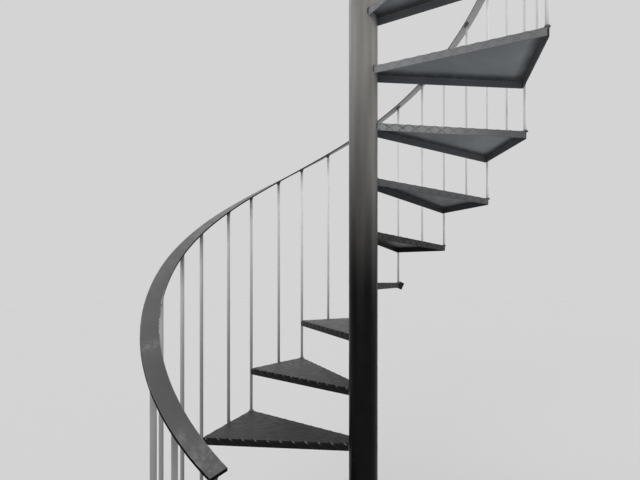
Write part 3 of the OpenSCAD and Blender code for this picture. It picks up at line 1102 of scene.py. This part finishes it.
def cleat():
    """The welds of the small plate that stands askew on a tread's outer fold, at its back corner."""
    angle = line_angle(CLEAT_TREAD - 1)
    start, corner = Vector((FRONT_R, -EDGE_LAP)), turned((BACK_R, -EDGE_LAP), -STEP)
    along = (corner - start).normalized()
    outward = left_of(along)
    z = RISE * CLEAT_TREAD - FLANGE_H / 2
    half, tilt = CLEAT_SIDE / 2, math.radians(CLEAT_TILT)

    def at(u, out, w):
        """A point of the plate: u along its own lower side, out from the fold and w up its other side."""
        level, up = u * math.cos(tilt) + w * math.sin(tilt), w * math.cos(tilt) - u * math.sin(tilt)
        return place(corner + along * level + outward * out, angle, z + up)

    end = corner - along * (NOTCH + 0.0006) + outward * 0.0004
    pitch, behind = 0.003, -0.0008
    # Down the fold's free end, along the plate's lower and upper sides, and down its outer side
    beads = [([place(end, angle, z + 0.011 - 0.0026 * i) for i in range(9)], 0.0026),
             ([at(-half + pitch * i, behind, -half + 0.0012) for i in range(6)], 0.0024),
             ([at(-half + 0.004 + pitch * i, behind, half - 0.0016) for i in range(8)], 0.0026),
             ([at(half - 0.0012, CLEAT_T / 2, half - pitch - pitch * i) for i in range(5)], 0.0020)]
    solid = Solid()
    for k, (path, radius) in enumerate(beads):
        bead(solid, path, radius, 41 + k)
    solid.build("cleat_welds", [weld_paint])


def bracket_welds():
    """The stitch welds that hold the steel angle on the landing's last fold."""
    solid = Solid()
    first, pitch, part = 0.10, 0.11, 0.004
    for k in range(5):
        path = [place((first + pitch * k + part * i, -EDGE_LAP), line_angle(LAST_STEP), LANDING_Z - 0.0008)
                for i in range(9)]
        bead(solid, path, 0.0016, 60 + k, sides=6)
    solid.build("landing_angle_welds", [weld_paint])


handrail()
column()
treads()
balusters()
cleat()
bracket_welds()

# The CAD nodes that stay get a painted finish
for kept, paint in (("base_plate", fitting_paint), ("column_cap", fitting_paint),
                    ("landing_angle", fitting_paint), ("wall_cleat", cleat_paint)):
    materials = nodes[kept].data.materials
    materials.clear()
    materials.append(paint)


# Stage, light and camera

def stage():
    material, _, shader = node_tree("floor_pale")
    for socket, value in (("Base Color", grey(FLOOR)), ("Roughness", 0.9), ("Specular IOR Level", 0.0)):
        shader.inputs[socket].default_value = value
    mesh = bpy.data.meshes.new("floor")
    corners = [(x * FLOOR_HALF, y * FLOOR_HALF, 0) for x, y in ((-1, -1), (1, -1), (1, 1), (-1, 1))]
    mesh.from_pydata(corners, [], [(0, 1, 2, 3)])
    mesh.materials.append(material)
    floor = put("floor", mesh)


def world():
    """An even light all round, seen by the camera, reflections and glass as a plain pale backdrop."""
    space = bpy.data.worlds.new("studio")
    bpy.context.scene.world = space
    space.use_nodes = True
    tree = space.node_tree
    tree.nodes.clear()
    output = tree.nodes.new("ShaderNodeOutputWorld")
    path = tree.nodes.new("ShaderNodeLightPath")
    seen = path.outputs["Is Camera Ray"]
    for kind in ("Is Glossy Ray", "Is Transmission Ray"):
        either = tree.nodes.new("ShaderNodeMath")
        either.operation = "MAXIMUM"
        tree.links.new(seen, either.inputs[0])
        tree.links.new(path.outputs[kind], either.inputs[1])
        seen = either.outputs[0]
    mixed = tree.nodes.new("ShaderNodeMixShader")
    tree.links.new(seen, mixed.inputs["Fac"])
    for socket, level, strength in ((1, 255, WORLD_LIGHT), (2, BACKDROP, 1.0)):
        shade = tree.nodes.new("ShaderNodeBackground")
        shade.inputs["Color"].default_value = grey(level)
        shade.inputs["Strength"].default_value = strength
        tree.links.new(shade.outputs[0], mixed.inputs[socket])
    tree.links.new(mixed.outputs[0], output.inputs["Surface"])


def sun(name, towards, strength, spread):
    """A wide, soft lamp that lights everything evenly from one direction."""
    lamp = bpy.data.lights.new(name, "SUN")
    lamp.energy = strength
    lamp.angle = math.radians(spread)
    put(name, lamp).rotation_euler = Vector(towards).to_track_quat("Z", "Y").to_euler()


def camera():
    data = bpy.data.cameras.new("photo_camera")
    data.sensor_width = SENSOR
    data.sensor_fit = "HORIZONTAL"
    data.lens = FOCAL_PX / IMAGE_W * SENSOR
    data.shift_x = (IMAGE_W / 2 - AXIS_PX[0]) / IMAGE_W
    data.shift_y = (AXIS_PX[1] - IMAGE_H / 2) / IMAGE_W
    data.clip_start = 0.05
    holder = put("photo_camera", data)
    holder.location = CAMERA_AT
    holder.rotation_euler = (math.radians(90), 0, math.radians(CAMERA_HEADING - 90))
    bpy.context.scene.camera = holder


stage()
world()
for lamp_name, (towards, strength, spread) in LAMPS.items():
    sun(lamp_name, towards, strength, spread)
camera()
bpy.context.scene.view_settings.view_transform = "Standard"
